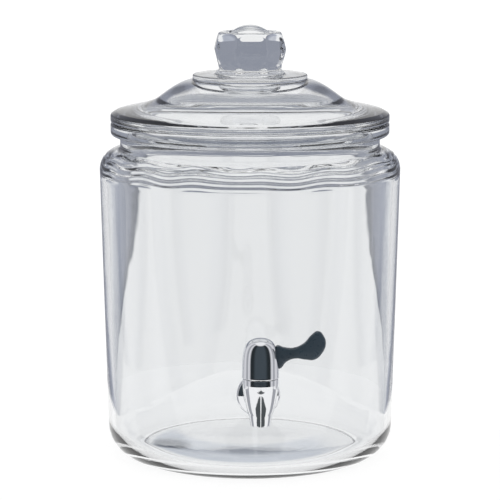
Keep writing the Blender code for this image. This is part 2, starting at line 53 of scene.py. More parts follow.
LID_LOW, LID_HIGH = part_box("lid")
BODY_LOW, BODY_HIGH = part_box("tap_body")
CAP_LOW, CAP_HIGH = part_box("tap_cap")
OUTER_SEAL_LOW, OUTER_SEAL_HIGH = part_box("outer_gasket")
_, INNER_SEAL_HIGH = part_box("inner_gasket")
WASHER_LOW, WASHER_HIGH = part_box("flat_washer")
NUT_LOW, NUT_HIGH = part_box("lock_nut")

SHOULDER_R = JAR_HIGH.x
RIM_TOP_Z = JAR_HIGH.z
RIM_R = LID_HIGH.x
KNOB_TOP_Z = LID_HIGH.z
BARREL_Y = (CAP_LOW.y + CAP_HIGH.y) / 2
SHANK_Z = (OUTER_SEAL_LOW.z + OUTER_SEAL_HIGH.z) / 2
SHANK_END = -BODY_HIGH.y
SEAM_Z = BODY_HIGH.z
NOZZLE_LOW_Z = BODY_LOW.z
FLANGE_R = BODY_HIGH.x
CAP_R = CAP_HIGH.x
CAP_TOP_Z = CAP_HIGH.z

# Jar.
WAIST_R = 0.1150
WAIST_Z = 0.122
HEEL_R = 0.1120
HEEL_Z = 0.024
SHOULDER_Z = 0.2265
SHOULDER_ROUND = 0.016
NECK_R = 0.1014
INNER_SHOULDER_ROUND = 0.0150
INNER_SHOULDER_END = 78
RIM_LOW_Z = 0.2535
RIM_ROUND = 0.0025
GLASS = 0.0053
FLOOR_TOP_Z = 0.0080
FLOOR_CROWN_Z = 0.0093
FLOOR_CROWN_R = 0.010
FLOOR_CROWN_EASE = 0.014
FLOOR_ROUND = 0.018
FOOT_INNER_R = 0.0845
BASE_PANEL_R = 0.0825
BASE_PANEL_Z = 0.0015
HOLE_R = 0.0087
HOLE_FROM = 0.095
HOLE_TO = 0.130
JAR_STEPS = 320
PROFILE_STEP = 0.0022

# Slow waves on the jar's inner wall, ripples in its shoulder, rings and a swelling on its floor.
UNEVEN_FROM_R = 0.02
UNEVEN_LOW_Z = 0.006
UNEVEN_TOP_Z = SHOULDER_Z + 0.012
WAVE_DEPTH = 0.00010
WAVE_ROUND = 18
WAVE_RISE = 10
WAVE_FROM_Z = 0.020
WAVE_FULL_Z = 0.040
RIPPLE_DEPTH = 0.00018
RIPPLE_LENGTH = 0.0036
RIPPLE_DRIFT = 0.8
RIPPLE_DRIFT_PACE = 1.8
RIPPLE_FROM_Z = SHOULDER_Z - 0.008
RIPPLE_FULL_Z = SHOULDER_Z - 0.002
RIPPLE_LIFT_Z = SHOULDER_Z + 0.008
RING_HEIGHT = 0.00002
RING_SPACING = 0.0078
RINGS_FROM_R = 0.040
RINGS_FULL_R = 0.055
RINGS_FADE_R = 0.082
RINGS_END_R = 0.090
SWELL_PLACE = (-0.068, 0.004)
SWELL_R = 0.028
SWELL_HEIGHT = 0.0004

# Lid and knob.
LID_LOW_Z = RIM_TOP_Z + 0.0003
FLANGE_TOP_Z = 0.2703
FLANGE_ROUND = 0.0020
SKIRT_OUTER_R = 0.0940
SKIRT_INNER_R = 0.0893
LID_DISC_R = 0.0447
LID_DISC_LOW_Z = 0.2960
LID_DISC_TOP_Z = 0.3003
LID_CEILING_Z = 0.2895
# Points and curve handles of the lid's bell, as (radius, height), from its rise to its brim.
BELL_RISE = ((0.0451, 0.2960), (0.0555, 0.2948), (0.0640, 0.2875), (0.0720, 0.2817))
BELL_BRIM = ((0.0720, 0.2817), (0.0790, 0.2766), (0.0950, 0.2742), (0.1045, 0.2718))
BELL_INNER_BRIM = ((0.0883, 0.2640), (0.0880, 0.2700), (0.0720, 0.2730), (0.0645, 0.2790))
BELL_INNER_RISE = ((0.0645, 0.2790), (0.0570, 0.2845), (0.0480, 0.2893), (0.0380, 0.2895))
KNOB_FOOT_R = 0.0274
KNOB_NECK_R = 0.0252
KNOB_NECK_Z = 0.3068
KNOB_ROOT_Z = 0.3038
KNOB_MAX_R = 0.0292
KNOB_MAX_Z = 0.3198
KNOB_SHOULDER_R = 0.0225
KNOB_SHOULDER_Z = 0.3332
BUTTON_R = 0.0156
BUTTON_LOW_Z = 0.3320
BUTTON_GROOVE = 0.0018
KNOB_FACETS = 8
FACET_APOTHEM = 0.0277
FACET_NECK_APOTHEM = 0.0240
FACET_TOP_APOTHEM = 0.0230
FACET_ROUND = 0.0010
FACETS_FROM_R = BUTTON_R + 0.0030

# Tap.
COLLAR_R = 0.0132
COLLAR_LOW_Z = 0.0840
TULIP_R = 0.0125
TULIP_Z = 0.0790
NOZZLE_TOP_R = 0.0089
NOZZLE_TOP_Z = 0.0637
NOZZLE_R = 0.0075
OUTLET_R = 0.0050
BORE_R = 0.0070
BORE_LOW_Z = 0.0617
TAP_NECK_R = 0.0090
SHANK_R = 0.0080
INLET_R = 0.0040
FLANGE_THICKNESS = 0.0035
CLEARANCE = 0.0003
SHANK_FRONT = 0.1385
INLET_FRONT = 0.1370
SHANK_FILLET = 0.0009
SHANK_STEP = 0.0004
NOZZLE_STEP = 0.0005
CAP_STEP = 0.001
THREAD_PITCH = 0.0014
THREAD_DEPTH = 0.0007
CAP_SHOULDER_Z = 0.0980
CAP_WALL = 0.0018
SLOT_FROM_X = 0.006
SLOT_TO_X = 0.016
SLOT_HALF_WIDTH = 0.0036
SLOT_LOW_Z = 0.0967
SLOT_TOP_Z = 0.1166
HUB_BORE_R = 0.0038
HUB_R = 0.0078
HUB_LOW_Z = 0.0938
HUB_FLANGE_R = 0.0112
HUB_FLANGE_TOP_Z = 0.0962
HUB_TOP_Z = 0.1118
LEVER_THICKNESS = 0.0060
LEVER_ROUND = 0.0024
TAP_STEPS = 96
SHARP_ANGLE = radians(40)
NUT_SHARP_ANGLE = radians(30)
BORE_SIDES = 64
# The lever's outline, as (distance from the tap's axis, height).
LEVER_OUTLINE = (
    (0.0030, 0.1000),
    (0.0030, 0.1105),
    (0.0085, 0.1112),
    (0.0124, 0.1149),
    (0.0165, 0.1137),
    (0.0245, 0.1130),
    (0.0322, 0.1166),
    (0.0372, 0.1222),
    (0.0424, 0.1252),
    (0.0465, 0.1215),
    (0.0479, 0.1158),
    (0.0455, 0.1094),
    (0.0398, 0.1042),
    (0.0330, 0.1043),
    (0.0255, 0.1052),
    (0.0190, 0.1028),
    (0.0142, 0.0978),
    (0.0090, 0.0985),
)

# Camera and studio.
CAMERA_DISTANCE = 1.95
CAMERA_HEIGHT = 0.486
CAMERA_AZIMUTH = -3.0
CAMERA_LENS = 181.0
AIM_HEIGHT = 0.1614
TABLE_FRONT = -0.236
TABLE_BACK = 0.34
TABLE_HALF_WIDTH = 0.20
APRON_R = 0.30
APRON_DROP = 0.0006
FLOOR_GREY = (0.12, 0.12, 0.12)
FLOOR_GLOW = 0.91
# Outlines of the dark cards in front of the tap, as (distance from it, degrees to one side).
CARD_EDGE = ((0.012, 56.0), (0.050, 54.0), (0.080, 47.0), (0.104, 45.0), (0.118, 34.0),
             (0.136, 20.0), (0.152, 6.0))
CARD_SPLIT = 4.0
CARD_ARCH = (*CARD_EDGE, *((distance, CARD_SPLIT) for distance, _ in reversed(CARD_EDGE)))
CARD_DIAMOND = ((0.180, 0.0), (0.212, 26.0), (0.244, 0.0), (0.212, -26.0))
CARD_SIDE = ((0.030, 84.0), (0.290, 84.0), (0.290, 118.0), (0.030, 118.0))
CARD_DARK = (0.085, 0.095, 0.100)
CARD_GREY = (0.40, 0.41, 0.44)
CARD_HEIGHT = 0.0004
# The painted shade under the base: a glowing disc whose pale crescent and dark patch stand in
# for shadow under the jar. Each of its marks is a place on the table, and the distances from it
# between which the mark fades.
SHADE_R = 0.082
SHADE_CRESCENT = ((0.0, 0.052), 0.052, 0.064)
SHADE_RIM = ((0.0, 0.0), 0.074, 0.081)
SHADE_TAIL = ((-0.060, -0.030), 0.105, 0.135)
SHADE_PATCH = ((-0.069, -0.004), 0.013, 0.027)
SHADE_STREAKS = (0.20, 1.70)
SHADE_WHITE = (0.93, 0.93, 0.93)
SHADE_PALE_BLUE = (0.62, 0.66, 0.74)
SHADE_DARK_BLUE = (0.0, 0.022, 0.055)
SCREEN_RADIUS = 0.60
SCREEN_LOW_Z = -0.40
SCREEN_TOP_Z = 0.19
SCREEN_SHIFT = -0.4
SCREEN_FLARE_Z = 0.12
SCREEN_FLARE = 420.0
# The ring's colours, by degrees from the nearest of front, back, left and right.
SCREEN_REACH = 45.0
SCREEN_STOPS = (
    (14.2, (1.0, 1.0, 1.0)),
    (15.0, (0.17, 0.18, 0.215)),
    (17.0, (0.29, 0.31, 0.375)),
    (20.0, (0.32, 0.345, 0.42)),
    (24.0, (0.46, 0.49, 0.57)),
    (28.0, (0.95, 0.96, 0.98)),
    (45.0, (1.0, 1.0, 1.0)),
)
WALL_LIGHT = (1.12, 1.12, 1.12)
# What is seen and mirrored beyond the screens. An edge is where one colour fades into the next, in
# degrees from the front or as the upward part of the line of sight.
BACKDROP_EDGE = (0.30, 0.42)
BACKDROP_GREY = (0.29, 0.31, 0.37)
BACKDROP_WHITE = (1.0, 1.0, 1.0)
STRIP_EDGE = (2.0, 5.0)
STRIP_PALE = (0.85, 0.85, 0.85)
STRIP_DARK = (0.040, 0.045, 0.050)
LOW_EDGE = (-0.36, -0.30)
LOW_BLACK = (0.008, 0.010, 0.014)
BAND_EDGE = (-0.225, -0.215)
BAND_FADE = (28.0, 50.0)
BAND_MIDDLE = (0.060, 0.076, 0.090)
BAND_END = (0.022, 0.028, 0.032)
SIDES_EDGE = (63.0, 67.0)
SIDES_REACH = 180.0
SIDES_STOPS = (
    (66.0, (0.30, 0.31, 0.33)),
    (76.0, (0.80, 0.80, 0.83)),
    (92.0, (0.36, 0.37, 0.40)),
    (112.0, (0.78, 0.78, 0.81)),
    (138.0, (0.36, 0.37, 0.41)),
    (165.0, (0.30, 0.31, 0.36)),
    (176.0, (0.90, 0.90, 0.90)),
)
CEILING_EDGE = (0.86, 0.95)
CEILING_WHITE = (0.95, 0.95, 0.96)


# ---------------------------------------------------------------- profiles


def arc(centre, radius, start, end, steps):
    """Points on an arc, with angles in degrees from the outward direction towards up."""
    angles = [radians(start + (end - start) * step / steps) for step in range(steps + 1)]
    return [(centre[0] + radius * cos(a), centre[1] + radius * sin(a)) for a in angles]


def curve(start, start_handle, end_handle, end, steps):
    """Points on a cubic curve between two profile points."""
    knots = [Vector((*point, 0.0)) for point in (start, start_handle, end_handle, end)]
    return [(p.x, p.y) for p in interpolate_bezier(*knots, steps + 1)]


def subdivided(profile, longest=PROFILE_STEP):
    """The same profile with extra points, so that no stretch is longer than a given length."""
    points = [profile[0]]
    for start, end in zip(profile, profile[1:]):
        length = sqrt((end[0] - start[0]) ** 2 + (end[1] - start[1]) ** 2)
        count = max(1, round(length / longest))
        for step in range(1, count + 1):
            part = step / count
            points.append((start[0] + part * (end[0] - start[0]),
                           start[1] + part * (end[1] - start[1])))
    return points


def filleted(profile, radius, steps=4, closed=False):
    """The same profile with its sharp corners rounded."""
    points = [Vector(point) for point in profile]
    count = len(points)
    result = []
    for index, corner in enumerate(points):
        if not closed and index in (0, count - 1):
            result.append(tuple(corner))
            continue
        before = points[index - 1] - corner
        after = points[(index + 1) % count] - corner
        turn = pi - before.angle(after)
        if turn < radians(25):
            result.append(tuple(corner))
            continue
        reach = min(radius * tan(turn / 2), 0.45 * before.length, 0.45 * after.length)
        start = corner + before.normalized() * reach
        end = corner + after.normalized() * reach
        result += curve(start, start.lerp(corner, 0.55), end.lerp(corner, 0.55), end, steps)
    return result


def outer_wall_r(height):
    """The jar's outer radius on the straight stretches of its wall."""
    if height < WAIST_Z:
        part = (height - HEEL_Z) / (WAIST_Z - HEEL_Z)
        return HEEL_R + part * (WAIST_R - HEEL_R)
    part = (height - WAIST_Z) / (SHOULDER_Z - WAIST_Z)
    return WAIST_R + part * (SHOULDER_R - WAIST_R)


def jar_profile():
    """The jar's section, from the middle of its floor over the rim to the base panel."""
    inner_heel_z = FLOOR_TOP_Z + FLOOR_ROUND
    inner_heel = (outer_wall_r(inner_heel_z) - GLASS - FLOOR_ROUND, inner_heel_z)
    neck_root_z = SHOULDER_Z + SHOULDER_ROUND
    inner_shoulder = (SHOULDER_R - GLASS - INNER_SHOULDER_ROUND,
                      neck_root_z - GLASS - INNER_SHOULDER_ROUND)
    rim_inner = (NECK_R - GLASS + RIM_ROUND, RIM_TOP_Z - RIM_ROUND)
    rim_outer = (RIM_R - RIM_ROUND, RIM_TOP_Z - RIM_ROUND)
    rim_under = (RIM_R - RIM_ROUND, RIM_LOW_Z + RIM_ROUND)
    neck_fillet = (NECK_R + RIM_ROUND, neck_root_z + RIM_ROUND)
    inner_wall = curve((outer_wall_r(inner_heel_z) - GLASS, inner_heel_z),
                       (outer_wall_r(0.060) - GLASS, 0.060), (WAIST_R + 0.0009 - GLASS, 0.160),
                       (SHOULDER_R - GLASS, inner_shoulder[1]), 70)
    outer_wall = curve((SHOULDER_R, SHOULDER_Z), (WAIST_R + 0.0009, 0.160),
                       (outer_wall_r(0.060), 0.060), (HEEL_R, HEEL_Z), 70)
    floor_crown = curve((FLOOR_CROWN_R, FLOOR_CROWN_Z),
                        (FLOOR_CROWN_R + FLOOR_CROWN_EASE, FLOOR_CROWN_Z),
                        (inner_heel[0] - FLOOR_CROWN_EASE, FLOOR_TOP_Z),
                        (inner_heel[0], FLOOR_TOP_Z), 60)
    return [
        *subdivided([(0.0, FLOOR_CROWN_Z), (FLOOR_CROWN_R, FLOOR_CROWN_Z)]),
        *floor_crown[1:],
        *arc(inner_heel, FLOOR_ROUND, -90, 0, 24)[1:],
        *inner_wall[1:],
        *arc(inner_shoulder, INNER_SHOULDER_ROUND, 0, INNER_SHOULDER_END, 36)[1:],
        *arc((NECK_R, neck_root_z), GLASS, 180 + INNER_SHOULDER_END, 180, 8),
        *subdivided([(NECK_R - GLASS, neck_root_z), (NECK_R - GLASS, rim_inner[1])])[1:],
        *arc(rim_inner, RIM_ROUND, 180, 90, 8)[1:],
        *subdivided([(rim_inner[0], RIM_TOP_Z), (rim_outer[0], RIM_TOP_Z)])[1:],
        *arc(rim_outer, RIM_ROUND, 90, 0, 8)[1:],
        *subdivided([(RIM_R, rim_outer[1]), (RIM_R, rim_under[1])])[1:],
        *arc(rim_under, RIM_ROUND, 0, -90, 8)[1:],
        *arc((NECK_R + 0.0015, RIM_LOW_Z - 0.0015), 0.0015, 90, 180, 5),
        *arc(neck_fillet, RIM_ROUND, 180, 256, 8),
        *arc((NECK_R, SHOULDER_Z), SHOULDER_ROUND, 81, 0, 24),
        *outer_wall[1:],
        *arc((HEEL_R - HEEL_Z, HEEL_Z), HEEL_Z, 0, -90, 32)[1:],
        *subdivided([(HEEL_R - HEEL_Z, 0.0), (FOOT_INNER_R, 0.0)])[1:],
        *curve((FOOT_INNER_R, 0.0), (FOOT_INNER_R - 0.0015, 0.0),
               (BASE_PANEL_R + 0.0015, BASE_PANEL_Z), (BASE_PANEL_R, BASE_PANEL_Z), 8)[1:],
        *subdivided([(BASE_PANEL_R, BASE_PANEL_Z), (0.0, BASE_PANEL_Z)])[1:],
    ]


def lid_profile():
    """The lid's section with its round knob, from the knob's top outwards and back below."""
    edge = (RIM_R - FLANGE_ROUND, FLANGE_TOP_Z - FLANGE_ROUND)
    skirt_low_z = LID_LOW.z
    disc_round = 0.0011
    button_rise = KNOB_TOP_Z - BUTTON_LOW_Z
    ball_r = (BUTTON_R ** 2 + button_rise ** 2) / (2 * button_rise)
    button_edge = degrees(atan2(ball_r - button_rise, BUTTON_R))
    groove_z = BUTTON_LOW_Z - BUTTON_GROOVE
    return [
        *arc((0.0, KNOB_TOP_Z - ball_r), ball_r, 90, button_edge, 20),
        *curve((BUTTON_R + 0.0002, BUTTON_LOW_Z - 0.0006), (BUTTON_R + 0.0006, groove_z),
               (BUTTON_R + 0.0024, groove_z), (BUTTON_R + 0.0034, KNOB_SHOULDER_Z - 0.0012), 8),
        *curve((BUTTON_R + 0.0044, KNOB_SHOULDER_Z - 0.0002),
               (KNOB_SHOULDER_R - 0.0012, KNOB_SHOULDER_Z + 0.0002),
               (KNOB_SHOULDER_R - 0.0008, KNOB_SHOULDER_Z), (KNOB_SHOULDER_R, KNOB_SHOULDER_Z), 5),
        *curve((KNOB_SHOULDER_R, KNOB_SHOULDER_Z), (KNOB_MAX_R - 0.0035, KNOB_SHOULDER_Z),
               (KNOB_MAX_R, KNOB_MAX_Z + 0.0064), (KNOB_MAX_R, KNOB_MAX_Z), 24)[1:],
        *curve((KNOB_MAX_R, KNOB_MAX_Z), (KNOB_MAX_R, KNOB_MAX_Z - 0.0058),
               (KNOB_NECK_R + 0.0003, KNOB_NECK_Z + 0.0030), (KNOB_NECK_R, KNOB_NECK_Z), 20)[1:],
        *curve((KNOB_NECK_R, KNOB_NECK_Z), (KNOB_NECK_R, KNOB_ROOT_Z + 0.0006),
               (KNOB_NECK_R + 0.0008, KNOB_ROOT_Z - 0.0026),
               (KNOB_FOOT_R + 0.0006, LID_DISC_TOP_Z + 0.0003), 8)[1:],
        *subdivided([(KNOB_FOOT_R + 0.0018, LID_DISC_TOP_Z),
                     (LID_DISC_R - disc_round, LID_DISC_TOP_Z)]),
        *arc((LID_DISC_R - disc_round, LID_DISC_TOP_Z - disc_round), disc_round, 90, 0, 6)[1:],
        *subdivided([(LID_DISC_R, LID_DISC_TOP_Z - disc_round),
                     (LID_DISC_R, LID_DISC_LOW_Z + 0.0004)])[1:],
        *curve(*BELL_RISE, 24),
        *curve(*BELL_BRIM, 24)[1:],
        *arc(edge, FLANGE_ROUND, 75, 0, 8),
        *arc((RIM_R - 0.001, LID_LOW_Z + 0.001), 0.001, 0, -90, 6),
        *subdivided([(RIM_R - 0.001, LID_LOW_Z), (SKIRT_OUTER_R + 0.0015, LID_LOW_Z)])[1:],
        *curve((SKIRT_OUTER_R + 0.0010, LID_LOW_Z), (SKIRT_OUTER_R, LID_LOW_Z),
               (SKIRT_OUTER_R, LID_LOW_Z - 0.0003), (SKIRT_OUTER_R - 0.0001, 0.2625), 5),
        *subdivided([(SKIRT_OUTER_R - 0.0001, 0.2625),
                     (SKIRT_OUTER_R - 0.0007, skirt_low_z + 0.0015)])[1:],
        *arc((SKIRT_OUTER_R - 0.0022, skirt_low_z + 0.0015), 0.0015, 0, -90, 6)[1:],
        *arc((SKIRT_INNER_R + 0.0015, skirt_low_z + 0.0015), 0.0015, -90, -180, 6),
        *subdivided([(SKIRT_INNER_R, skirt_low_z + 0.0015), BELL_INNER_BRIM[0]])[1:],
        *curve(*BELL_INNER_BRIM, 20)[1:],
        *curve(*BELL_INNER_RISE, 18)[1:],
        *subdivided([BELL_INNER_RISE[-1], (0.0, LID_CEILING_Z)])[1:],
    ]


def barrel_profile():
    """The outside of the tap's upright barrel and its bores."""
    return [
        (BORE_R, SEAM_Z),
        *arc((COLLAR_R - 0.0005, SEAM_Z - 0.0005), 0.0005, 90, 0, 4),
        *subdivided([(COLLAR_R, SEAM_Z - 0.0006), (COLLAR_R, COLLAR_LOW_Z + 0.0025)], NOZZLE_STEP),
        *curve((COLLAR_R, COLLAR_LOW_Z + 0.0025), (COLLAR_R - 0.0001, COLLAR_LOW_Z + 0.0010),
               (TULIP_R + 0.0005, TULIP_Z + 0.0030), (TULIP_R, TULIP_Z), 16)[1:],
        *curve((TULIP_R, TULIP_Z), (TULIP_R - 0.0011, TULIP_Z - 0.0066),
               (NOZZLE_TOP_R + 0.0014, NOZZLE_TOP_Z + 0.0030), (NOZZLE_TOP_R, NOZZLE_TOP_Z),
               24)[1:],
        *subdivided([(NOZZLE_TOP_R, NOZZLE_TOP_Z), (NOZZLE_R, NOZZLE_LOW_Z + 0.0005)],
                    NOZZLE_STEP)[1:],
        *arc((NOZZLE_R - 0.0004, NOZZLE_LOW_Z + 0.0004), 0.0004, 0, -90, 4),
        (OUTLET_R, NOZZLE_LOW_Z),
        (OUTLET_R, BORE_LOW_Z),
        (BORE_R, BORE_LOW_Z),
    ]


# ---------------------------------------------------------------- meshes


def add_object(name, mesh, material):
    """Put a mesh into the scene as a named object with one material."""
    obj = bpy.data.objects.new(name, mesh)
    bpy.context.scene.collection.objects.link(obj)
    if material:
        mesh.materials.append(material)
    return obj


def add_shape(name, shape, material=None):
    """Turn an edited shape into a named object, and let the shape go."""
    mesh = bpy.data.meshes.new(name)
    shape.to_mesh(mesh)
    shape.free()
    return add_object(name, mesh, material)


def settle(obj):
    """Make the object's modifiers part of its mesh."""
    bpy.context.view_layer.update()
    graph = bpy.context.evaluated_depsgraph_get()
    mesh = bpy.data.meshes.new_from_object(obj.evaluated_get(graph), depsgraph=graph)
    obj.modifiers.clear()
    obj.data = mesh
    return obj


def turned(name, profile, material=None, steps=TAP_STEPS, closed=False):
    """Turn a profile of (radius, height) points about the Z axis into a smooth mesh."""
    points = [(radius, 0.0, height) for radius, height in profile]
    edges = [(index, index + 1) for index in range(len(points) - 1)]
    if closed:
        edges.append((len(points) - 1, 0))
    mesh = bpy.data.meshes.new(name)
    mesh.from_pydata(points, edges, [])
    obj = add_object(name, mesh, material)
    screw = obj.modifiers.new("Turn", "SCREW")
    screw.steps = steps
    screw.render_steps = steps
    screw.use_merge_vertices = True
    screw.merge_threshold = 0.00001
    settle(obj)
    obj.data.shade_smooth()
    return obj


def along_shank(obj):
    """Turn an object's Z axis to point out of the jar along the tap's shank."""
    obj.location = (0.0, 0.0, SHANK_Z)
    obj.rotation_euler = (pi / 2, 0.0, 0.0)


def cut(target, tool, operation="DIFFERENCE"):
    """Combine the target with a tool object, which is then removed."""
    bpy.context.view_layer.update()
    boolean = target.modifiers.new("Cut", "BOOLEAN")
    boolean.operation = operation
    boolean.object = tool
    boolean.solver = "EXACT"
    settle(target)
    bpy.data.objects.remove(tool)


def cylinder(name, radius, low, high, sides):
    """A plain closed cylinder along Z, for cutting."""
    shape = bmesh.new()
    bmesh.ops.create_cone(shape, cap_ends=True, segments=sides, radius1=radius, radius2=radius,
                          depth=high - low)
    bmesh.ops.translate(shape, vec=(0.0, 0.0, (low + high) / 2), verts=shape.verts)
    return add_shape(name, shape)


def block(name, low, high):
    """A box between two corners, for cutting."""
    shape = bmesh.new()
    bmesh.ops.create_cube(shape, size=1.0)
    bmesh.ops.scale(shape, vec=[b - a for a, b in zip(low, high)], verts=shape.verts)
    bmesh.ops.translate(shape, vec=[(a + b) / 2 for a, b in zip(low, high)], verts=shape.verts)
    return add_shape(name, shape)


def smooth_min(first, second, blend):
    """The lesser of two lengths, rounded over where they cross."""
    share = max(blend - abs(first - second), 0.0) / blend
    return min(first, second) - share * share * blend / 4


def ease(value, low, high):
    """A smooth step from 0 at low to 1 at high, where low may be the greater."""
    part = min(max((value - low) / (high - low), 0.0), 1.0)
    return part * part * (3 - 2 * part)


# ---------------------------------------------------------------- glass


def make_jar(glass):
    """The jar, with the waves, ripples and rings of pressed glass on its inner face."""
    jar = turned("jar_glass", jar_profile(), glass, JAR_STEPS)
    for vertex in jar.data.vertices:
        place = vertex.co
        radius = sqrt(place.x ** 2 + place.y ** 2)
        if radius < UNEVEN_FROM_R or not UNEVEN_LOW_Z < place.z <= UNEVEN_TOP_Z:
            continue
        if outer_wall_r(max(place.z, HEEL_Z)) - radius <= GLASS / 2:
            continue
        if place.z < FLOOR_CROWN_Z + 0.0001:
            place.z += floor_lift(place, radius)
        wall = ease(place.z, WAVE_FROM_Z, WAVE_FULL_Z)
        spot = Vector((place.x * WAVE_ROUND, place.y * WAVE_ROUND, place.z * WAVE_RISE))
        wave = wall * WAVE_DEPTH * noise.noise(spot)
        shoulder = ease(place.z, RIPPLE_FROM_Z, RIPPLE_FULL_Z)
        phase = place.z / RIPPLE_LENGTH + RIPPLE_DRIFT * noise.noise(spot * RIPPLE_DRIFT_PACE)
        ripple = shoulder * RIPPLE_DEPTH * sin(2 * pi * phase)
        place.z += ripple * ease(place.z, SHOULDER_Z, RIPPLE_LIFT_Z)
        push = 1 + (wave + ripple) / radius
        place.x *= push
        place.y *= push
    hole = cylinder("hole", HOLE_R, HOLE_FROM, HOLE_TO, BORE_SIDES)
    along_shank(hole)
    cut(jar, hole)
    jar.data.shade_smooth()
    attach(jar, "jar")
    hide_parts("jar")


def floor_lift(place, radius):
    """How far the pressed floor stands above its plain shape: faint rings and a low swelling."""
    middle = ease(radius, RINGS_FROM_R, RINGS_FULL_R) * ease(radius, RINGS_END_R, RINGS_FADE_R)
    away = (Vector((place.x, place.y)) - Vector(SWELL_PLACE)).length / SWELL_R
    return middle * (RING_HEIGHT * sin(2 * pi * radius / RING_SPACING)
                     + SWELL_HEIGHT * exp(-away * away))


def facet_knob(place):
    """Press a lid point in the knob's range towards the eight flat facets."""
    radius = sqrt(place.x ** 2 + place.y ** 2)
    if place.z < KNOB_ROOT_Z or radius < FACETS_FROM_R:
        return
    if place.z < KNOB_MAX_Z:
        narrowing = (FACET_APOTHEM - FACET_NECK_APOTHEM) / (KNOB_MAX_Z - KNOB_ROOT_Z)
    else:
        narrowing = (FACET_APOTHEM - FACET_TOP_APOTHEM) / (KNOB_TOP_Z - KNOB_MAX_Z)
    apothem = FACET_APOTHEM - narrowing * abs(place.z - KNOB_MAX_Z)
    sector = 2 * pi / KNOB_FACETS
    angle = atan2(place.y, place.x)
    offset = angle - sector * round(angle / sector)
    push = smooth_min(radius, apothem / cos(offset), FACET_ROUND) / radius
    place.x *= push
    place.y *= push


def make_lid(glass):
    """The lid and its faceted knob, pressed as one piece of glass."""
    lid = turned("lid_glass", lid_profile(), glass, JAR_STEPS)
    for vertex in lid.data.vertices:
        facet_knob(vertex.co)
    lid.data.shade_smooth()
    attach(lid, "lid")
    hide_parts("lid")


# ---------------------------------------------------------------- tap


def make_tap_body(chrome):
    """The tap's body: barrel, nozzle, wall flange and threaded shank."""
    body = turned("tap_body_fine", barrel_profile(), chrome, closed=True)
    body.location.y = BARREL_Y
    front = -OUTER_SEAL_LOW.y + CLEARANCE
    outline = [
        (0.0, SHANK_FRONT),
        (TAP_NECK_R, SHANK_FRONT),
        (TAP_NECK_R, front + FLANGE_THICKNESS + 0.0060),
        (TAP_NECK_R + 0.0020, front + FLANGE_THICKNESS + 0.0018),
        (FLANGE_R - 0.0012, front + FLANGE_THICKNESS),
        (FLANGE_R, front + FLANGE_THICKNESS - 0.0015),
        (FLANGE_R, front),
        (SHANK_R, front),
        (SHANK_R, SHANK_END),
        (INLET_R, SHANK_END),
        (INLET_R, INLET_FRONT),
        (0.0, INLET_FRONT),
    ]
    section = subdivided(filleted(outline, SHANK_FILLET), SHANK_STEP)
    shank = turned("tap_shank_fine", section, chrome)
    for vertex in shank.data.vertices:
        cut_thread(vertex.co, front)
    shank.data.shade_smooth()
    along_shank(shank)
    body.data.set_sharp_from_angle(angle=SHARP_ANGLE)
    for piece in (body, shank):
        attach(piece, "jar")
    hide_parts("tap_body")
    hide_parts("tap_body")


def cut_thread(place, front):
    """Give a point on the shank its height on the screw thread."""
    radius = sqrt(place.x ** 2 + place.y ** 2)
    if abs(radius - SHANK_R) > 0.00005 or place.z > front - 0.0005:
        return
    turn = place.z / THREAD_PITCH - atan2(place.y, place.x) / (2 * pi)
    groove = abs(2 * (turn % 1.0) - 1)
    push = 1 - THREAD_DEPTH * groove / radius
    place.x *= push
    place.y *= push


def make_cap(chrome):
    """The bullet-shaped cap, a shell with a slot for the lever."""
    low_z = CAP_LOW.z
    inner_r = CAP_R - CAP_WALL
    inner_top_z = CAP_TOP_Z - CAP_WALL
    profile = [
        *curve((0.0, CAP_TOP_Z), (CAP_R - 0.0018, CAP_TOP_Z),
               (CAP_R - 0.0002, CAP_SHOULDER_Z + 0.0138), (CAP_R - 0.0001, CAP_SHOULDER_Z), 40),
        *subdivided([(CAP_R - 0.0001, CAP_SHOULDER_Z), (CAP_R, low_z + 0.0006)], CAP_STEP)[1:],
        *arc((CAP_R - 0.0006, low_z + 0.0006), 0.0006, 0, -90, 5)[1:],
        (inner_r, low_z),
        *subdivided([(inner_r, low_z), (inner_r, CAP_SHOULDER_Z)], CAP_STEP)[1:],
        *curve((inner_r, CAP_SHOULDER_Z), (inner_r - 0.0002, CAP_SHOULDER_Z + 0.0130),
               (inner_r - 0.0016, inner_top_z), (0.0, inner_top_z), 24)[1:],
    ]
    cap = turned("tap_cap_fine", profile, chrome)
    slot = block("slot", (SLOT_FROM_X, -SLOT_HALF_WIDTH, SLOT_LOW_Z),
                 (SLOT_TO_X, SLOT_HALF_WIDTH, SLOT_TOP_Z))
    cut(cap, slot)
    cap.data.shade_smooth()
    cap.data.set_sharp_from_angle(angle=SHARP_ANGLE)
    cap.location.y = BARREL_Y
    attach(cap, "valve")
    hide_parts("tap_cap")


